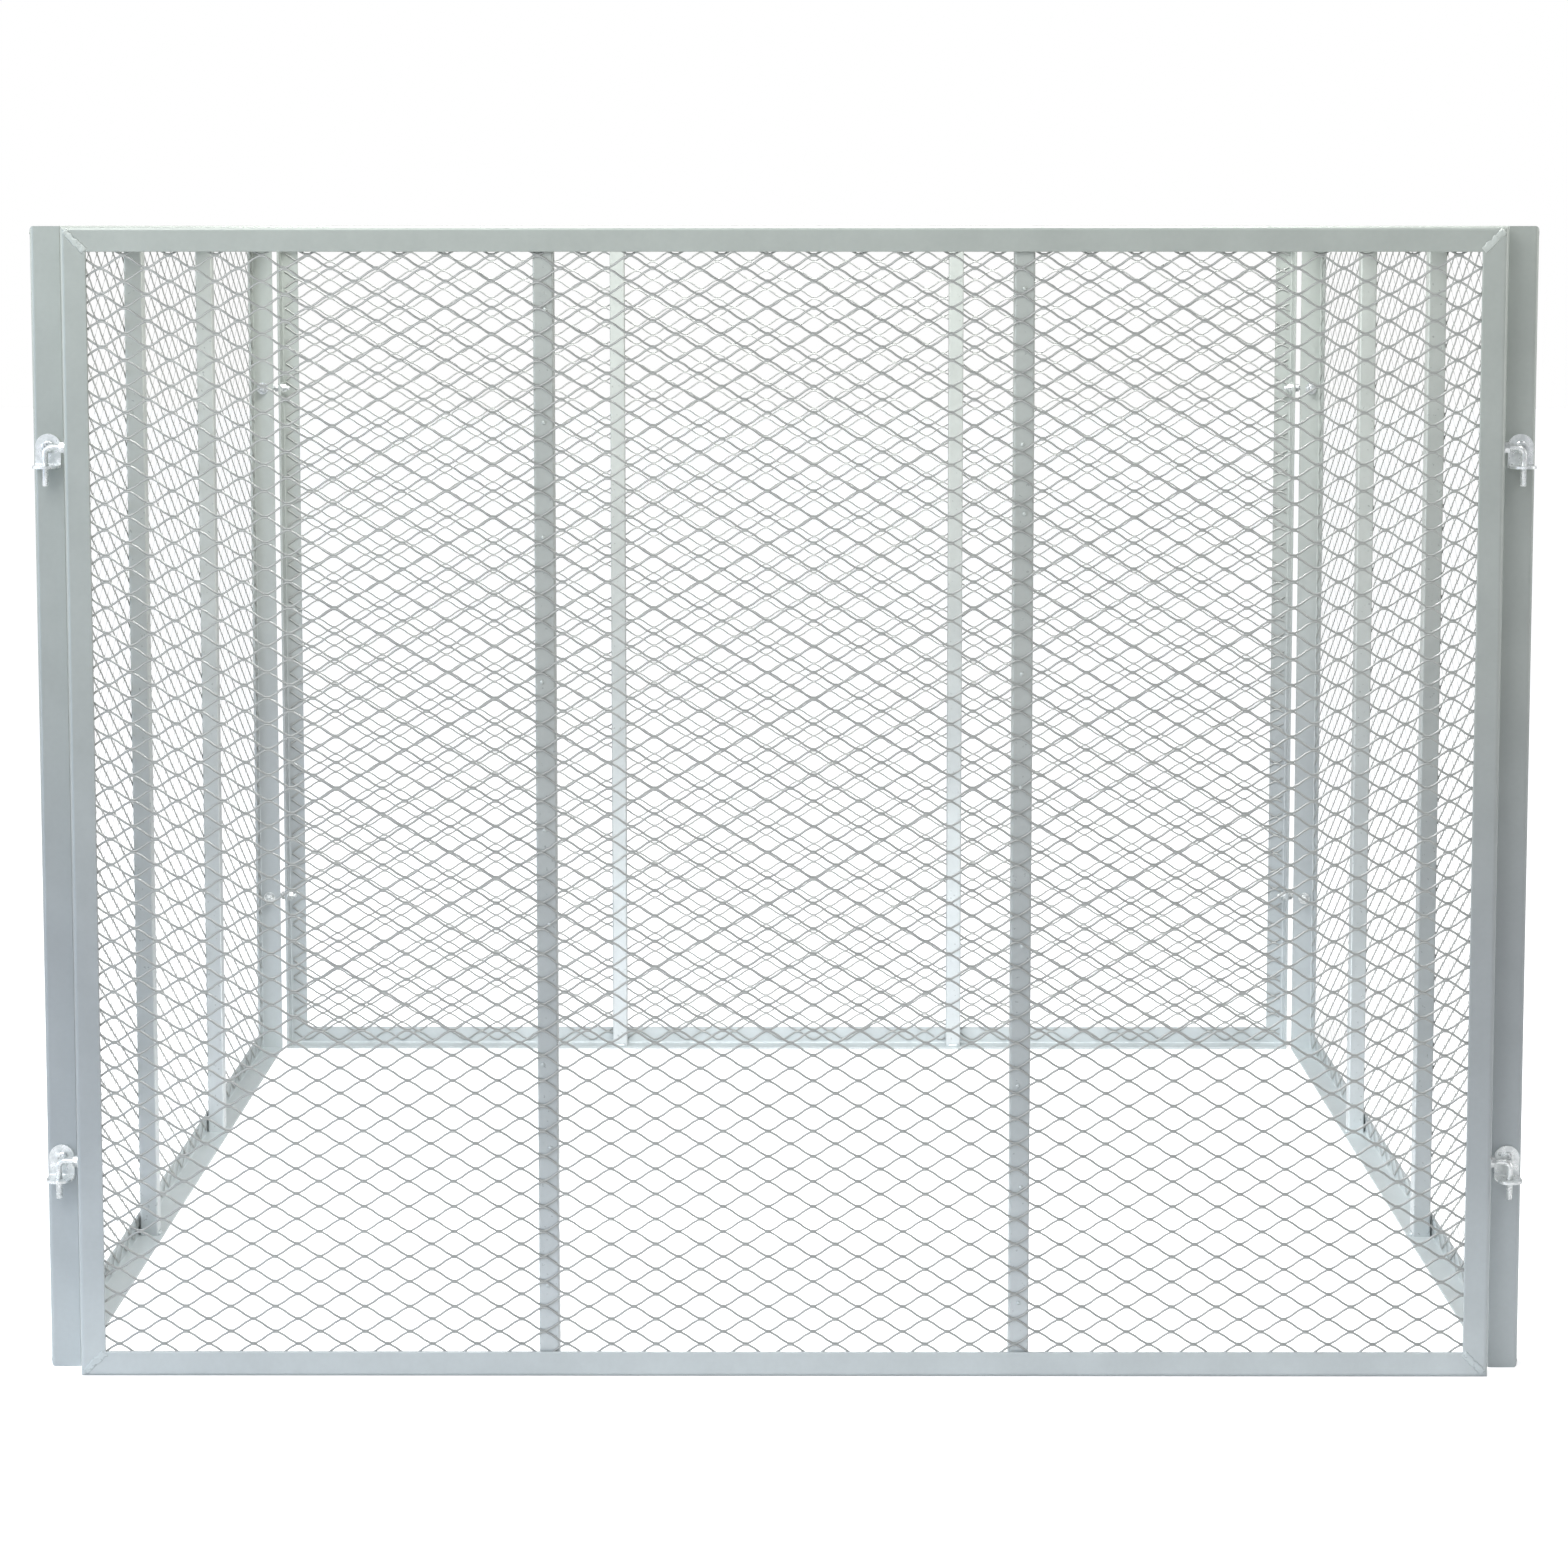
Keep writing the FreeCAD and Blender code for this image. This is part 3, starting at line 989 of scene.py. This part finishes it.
    def mitres(self, shape: bmesh.types.BMesh, panel: Panel, seed: float) -> None:
        """Add the four mitre welds.

        Args:
            shape: mesh that gets the welds.
            panel: panel that the welds belong to.
            seed: the panel's place in the noise.
        """
        for side in (-1.0, 1.0):
            for low in (True, False):
                seed += self.mitre_step
                angle = -side * 45.0 if low else side * 45.0 + 180.0
                turn = Matrix.Rotation(math.radians(angle), 4, "Y")
                height = self.fold if low else panel.height - self.fold
                corner = Matrix.Translation((side * (panel.half - self.fold), 0.0, height))
                self.place(shape, self.bead_rings(seed), corner @ turn)

    def tube_ends(self, shape: bmesh.types.BMesh, panel: Panel, seed: float) -> None:
        """Add the fillet weld at each end of each tube.

        Args:
            shape: mesh that gets the welds.
            panel: panel that the welds belong to.
            seed: the panel's place in the noise.
        """
        back = self.bar_front + self.bar
        for side in (-1.0, 1.0):
            for low in (True, False):
                seed += self.fillet_step
                height = self.steel if low else panel.height - self.steel
                flip = Matrix.Scale(1.0 if low else -1.0, 4, (0.0, 0.0, 1.0))
                corner = Matrix.Translation((side * panel.half / 3.0, back, height))
                self.place(shape, self.fillet_rings(seed), corner @ flip)

    def tacks(self, shape: bmesh.types.BMesh, panel: Panel, seed: float) -> None:
        """Add the tack welds between the expanded metal and the front of each tube.

        Args:
            shape: mesh that gets the welds.
            panel: panel that the welds belong to.
            seed: the panel's place in the noise.
        """
        up_from, up_step = self.tack_up_noise
        across_from, across_step = self.tack_across_noise
        for side in (-1.0, 1.0):
            for row in range(self.tack_rows):
                seed += self.tack_step
                stray_up = noise.noise(Vector((seed, up_from, row * up_step)))
                stray_across = noise.noise(Vector((row * across_step, seed, across_from)))
                place_up = row + self.tack_start + self.tack_stray_up * stray_up
                height = panel.height * place_up / (self.tack_rows + self.tack_gap)
                offset = self.tack_stray_across * self.bar * stray_across
                across = side * panel.half / 3.0 + offset
                corner = Matrix.Translation((across, self.bar_front, height))
                self.place(shape, self.tack_rings(seed), corner)


# ---- hook bolts ---------------------------------------------------------------------
@dataclass
class HookBolt:
    """L-shaped hook bolt, bent from M6 rod with a rolled thread on its straight leg."""

    radius: float = 3.0 * MM
    thread_depth: float = 0.36 * MM
    pitch: float = 1.0 * MM
    bend: float = 6.5 * MM
    plain: float = 9.0 * MM
    chamfer: float = 0.7 * MM
    facets: int = 18
    bend_steps: int = 9

    def rings(self, straight: float, drop: float) -> list[list[Vector]]:
        """Cross-sections of the bolt, from its threaded end to the tip of the hook.

        The straight leg runs along +X and ends at X = 0, where the bend starts.  The hook
        points down.

        Args:
            straight: length of the straight leg, up to the bend.
            drop: length of the hook below the bend.

        Returns:
            Rings of points in order along the rod.
        """
        stations = [(0.0, self.radius - self.chamfer)]
        place = self.chamfer
        crest = True
        while place < straight - self.plain:
            stations.append((place, self.radius if crest else self.radius - self.thread_depth))
            place += self.pitch / 2.0
            crest = not crest
        stations.append((straight - self.plain, self.radius))
        rings = []
        for along, radius in stations:
            rings.append(self.ring(Vector((along - straight, 0.0, 0.0)), 0.0, radius))
        for step in range(self.bend_steps + 1):
            angle = math.radians(90.0) * step / self.bend_steps
            fall = -self.bend * (1.0 - math.cos(angle))
            centre = Vector((self.bend * math.sin(angle), 0.0, fall))
            rings.append(self.ring(centre, angle, self.radius))
        end = -self.bend - drop
        tip = ((end + self.chamfer, self.radius), (end, self.radius - self.chamfer))
        for height, radius in tip:
            rings.append(self.ring(Vector((self.bend, 0.0, height)), math.pi / 2.0, radius))
        return rings

    def ring(self, centre: Vector, angle: float, radius: float) -> list[Vector]:
        """Circle of points around the rod, square to its direction.

        Args:
            centre: centre of the circle.
            angle: turn of the rod's direction from +X towards -Z, in radians.
            radius: radius of the circle.

        Returns:
            The points.
        """
        across = Vector((math.sin(angle), 0.0, math.cos(angle)))
        points = []
        for k in range(self.facets):
            turn = 2.0 * math.pi * k / self.facets
            level = Vector((0.0, radius * math.cos(turn), 0.0))
            points.append(centre + across * (radius * math.sin(turn)) + level)
        return points

    def build(
        self, side: Side, end: str, level: Level, material: bpy.types.Material
    ) -> bpy.types.Object:
        """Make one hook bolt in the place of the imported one.

        Args:
            side: front or rear, the panel that carries the bolt.
            end: "left" or "right", the end of that panel.
            level: lower or upper.
            material: finish of the rod.

        Returns:
            The placed bolt.
        """
        node = f"{side.label}_{end}_{level.value}_hook_bolt"
        low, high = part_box(node)
        outwards = 1.0 if end == "right" else -1.0
        tip = high.x if outwards > 0.0 else -low.x
        root = low.x if outwards > 0.0 else -high.x
        straight = tip - root - self.radius - self.bend
        drop = (high.z - low.z) - self.radius - self.bend
        shape = bmesh.new()
        start = Vector((root + straight, (low.y + high.y) / 2.0, high.z - self.radius))
        rings = []
        for ring in self.rings(straight, drop):
            points = [point + start for point in ring]
            rings.append([Vector((outwards * p.x, p.y, p.z)) for p in points])
        loft(shape, rings)
        bmesh.ops.recalc_face_normals(shape, faces=shape.faces[:])
        mesh = bpy.data.meshes.new(node)
        shape.to_mesh(mesh)
        shape.free()
        mesh.shade_smooth()
        mesh.materials.append(material)
        piece = to_piece(f"{side.label}_{end}_{level.value}_threaded_hook", mesh)
        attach(piece, side.body)
        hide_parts(node)
        log.info("%s: %d faces on %s", piece.name, len(mesh.polygons), side.body)
        return piece


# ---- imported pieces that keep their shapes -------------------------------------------
@dataclass
class PackedPieces:
    """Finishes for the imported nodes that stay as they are."""

    finishes: Finishes

    def finish_of(self, node: str) -> bpy.types.Material:
        """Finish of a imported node, by what its name ends with.

        Args:
            node: name of the node.

        Returns:
            Its material.
        """
        if node.endswith(("_rail", "_stile")):
            return self.finishes.frame
        if node.endswith("_bar"):
            return self.finishes.tube
        if node.endswith("_bracket"):
            return self.finishes.plate
        return self.finishes.fixing

    def dress(self, nodes: dict[str, bpy.types.Object]) -> None:
        """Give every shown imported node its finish."""
        for name, node in nodes.items():
            if node.hide_render:
                continue
            material = self.finish_of(name)
            if not node.material_slots:
                node.data.materials.append(material)
            for holder in node.material_slots:
                holder.material = material
            log.info("%s: %s", name, material.name)


# ---- studio -------------------------------------------------------------------------
@dataclass(frozen=True)
class SoftBox:
    """One soft box: where it stands, the point it faces, its size in metres, watts and colour."""

    name: str
    place: tuple[float, float, float]
    target: tuple[float, float, float]
    size: tuple[float, float]
    power: float
    colour_hex: str = "#ffffff"

    def build(self) -> None:
        """Add the light to the scene."""
        data = bpy.data.lights.new(self.name, "AREA")
        data.shape = "RECTANGLE"
        data.size, data.size_y = self.size
        data.energy = self.power
        data.color = linear(self.colour_hex)[:3]
        light = bpy.data.objects.new(self.name, data)
        light.location = self.place
        facing = Vector(self.target) - Vector(self.place)
        light.rotation_euler = facing.to_track_quat("-Z", "Y").to_euler()
        light.visible_camera = False
        bpy.context.scene.collection.objects.link(light)


@dataclass(frozen=True)
class Wall:
    """One pale wall of the studio, far away: its direction, its brightness and its tint.

    It starts where the cosine of the angle to its direction is edge, and is full at full.
    """

    direction: tuple[float, float, float]
    level: float
    edge: float = 0.1
    full: float = 0.8
    tint_hex: str = "#ffffff"


@dataclass
class Studio:
    """White paper floor, pale surround, soft lights and the camera."""

    floor_size: float = 40.0
    lens: float = 80.73
    camera_place: tuple[float, float, float] = (0.009, -4.141, 1.122)
    camera_pitch: float = math.radians(5.351)
    camera_turn: float = math.radians(0.15)
    camera_shift: float = -0.134
    camera_sensor: float = 36.0
    camera_clip: tuple[float, float] = (0.05, 200.0)
    walls: tuple[Wall, ...] = (
        Wall((0.0, 1.0, 0.0), 0.45, 0.0, 0.3),
        Wall((-0.8, -0.6, 0.0), 1.2, tint_hex="#f2f7ff"),
        Wall((0.8, -0.6, 0.0), 0.15),
        Wall((-1.0, 0.0, 0.0), 1.6, 0.86, 0.96),
        Wall((1.0, 0.0, 0.0), 2.6, 0.9, 0.97),
    )
    boxes: tuple[SoftBox, ...] = (
        SoftBox("key", (-1.1, -2.5, 2.6), (-0.05, -0.73, 0.7), (1.6, 1.6), 32.0),
        SoftBox("left_cool", (-1.7, -1.5, 0.75), (-0.73, -0.73, 0.6), (0.5, 1.2), 3.0, "#b4d4ff"),
        SoftBox("right_high", (1.5, -1.5, 1.9), (0.76, -0.73, 1.1), (0.4, 0.4), 5.0),
        SoftBox("over_pen", (0.0, -0.45, 2.6), (0.0, 0.73, 0.5), (1.3, 0.4), 56.0),
        SoftBox("floor_card", (0.0, -0.25, 0.03), (0.0, 0.73, 0.45), (1.1, 0.25), 4.0),
    )

    def build(self) -> None:
        """Make the floor, the surround, the lights and the camera."""
        self.floor()
        self.surround()
        for box in self.boxes:
            box.build()
        self.camera()

    def floor(self) -> None:
        """Lay the floor under the pen."""
        reach = self.floor_size / 2.0
        mesh = bpy.data.meshes.new("paper_floor")
        turns = ((-1.0, -1.0), (1.0, -1.0), (1.0, 1.0), (-1.0, 1.0))
        corners = [(reach * x, reach * y, 0.0) for x, y in turns]
        mesh.from_pydata(corners, [], [(0, 1, 2, 3)])
        mesh.materials.append(StudioPaper().material())
        to_piece("paper_floor", mesh)

    def surround(self) -> None:
        """Light the scene from pale walls, and show plain white behind everything."""
        world = bpy.data.worlds.new("pale_surround")
        world.use_nodes = True
        bpy.context.scene.world = world
        tree = world.node_tree
        light = tree.nodes["Background"]
        way = add_node(tree, "ShaderNodeTexCoord").outputs["Generated"]
        total: Any = (0.0, 0.0, 0.0)
        for wall in self.walls:
            facing = add_node(
                tree,
                "ShaderNodeVectorMath",
                {"operation": "DOT_PRODUCT"},
                {0: way, 1: wall.direction},
            )
            level = add_node(
                tree,
                "ShaderNodeMapRange",
                {"interpolation_type": "SMOOTHSTEP"},
                {0: facing.outputs["Value"], 1: wall.edge, 2: wall.full, 3: 0.0, 4: wall.level},
            )
            total = add_node(
                tree,
                "ShaderNodeVectorMath",
                {"operation": "MULTIPLY_ADD"},
                {0: level.outputs[0], 1: linear(wall.tint_hex)[:3], 2: total},
            ).outputs[0]
        seen = add_node(tree, "ShaderNodeLightPath").outputs["Is Camera Ray"]
        shown = add_node(
            tree, "ShaderNodeMix", {"data_type": "RGBA"}, {0: seen, 6: total, 7: linear("#ffffff")}
        ).outputs[2]
        tree.links.new(shown, light.inputs["Color"])
        light.inputs["Strength"].default_value = 1.0

    def camera(self) -> None:
        """Stand the camera in front of the pen, at about the height of its rim."""
        data = bpy.data.cameras.new("camera")
        data.lens = self.lens
        data.sensor_width = self.camera_sensor
        data.shift_y = self.camera_shift
        data.clip_start, data.clip_end = self.camera_clip
        eye = bpy.data.objects.new("camera", data)
        eye.location = self.camera_place
        eye.rotation_euler = (math.pi / 2.0 - self.camera_pitch, 0.0, self.camera_turn)
        bpy.context.scene.collection.objects.link(eye)
        bpy.context.scene.camera = eye
        bpy.context.scene.view_settings.view_transform = "Standard"


def main() -> None:
    """Build the pen piece by piece."""
    logging.basicConfig(level=logging.INFO, format="%(name)s %(message)s")
    finishes = Finishes()
    panels = [Panel(side) for side in Side]
    metal = ExpandedMetal()
    welds = PanelWelds()
    for panel in panels:
        metal.build(panel, finishes.mesh)
        welds.build(panel, finishes.weld)
    bolt = HookBolt()
    for side in (Side.FRONT, Side.REAR):
        for end in ("left", "right"):
            for level in Level:
                bolt.build(side, end, level, finishes.rod)
    PackedPieces(finishes).dress(frame["nodes"])
    Studio().build()


if __name__ == "__main__":
    main()
